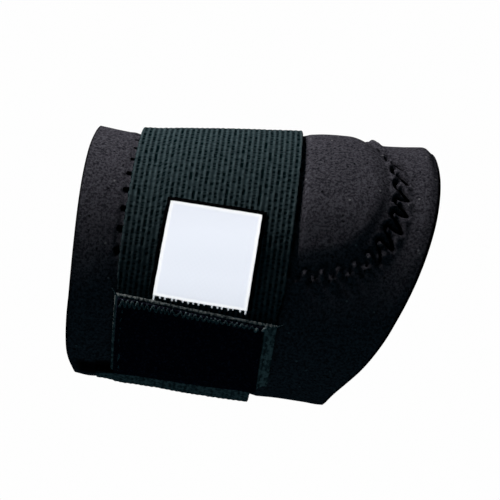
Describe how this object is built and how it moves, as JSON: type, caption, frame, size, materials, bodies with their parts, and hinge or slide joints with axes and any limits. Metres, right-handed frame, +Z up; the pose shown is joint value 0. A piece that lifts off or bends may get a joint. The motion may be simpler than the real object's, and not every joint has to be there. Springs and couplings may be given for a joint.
{
  "type": "elbow support",
  "caption": "Tubular forearm sleeve with a sewn-in pad and a wide wrapped elastic strap closed by a hook-and-loop tab, worn just below the elbow.",
  "frame": {"origin": "on the forearm's axis, midway along the sleeve as worn", "axes": "+X along the forearm towards the elbow, +Z up, -Y the side that carries the label and the tab"},
  "size_m": [0.1167, 0.0895, 0.0963],
  "materials": {
    "neoprene": "matte jersey-faced neoprene",
    "pad_foam": "matte cloth-faced foam",
    "elastic": "ribbed woven elastic",
    "pile": "brushed loop pile",
    "label_cloth": "smooth woven label"
  },
  "bodies": {
    "root": {"sleeve": "neoprene", "epicondyle_pad": "pad_foam", "elastic_strap": "elastic", "fastener_tab": "pile", "label": "label_cloth"}
  },
  "joints": []
}
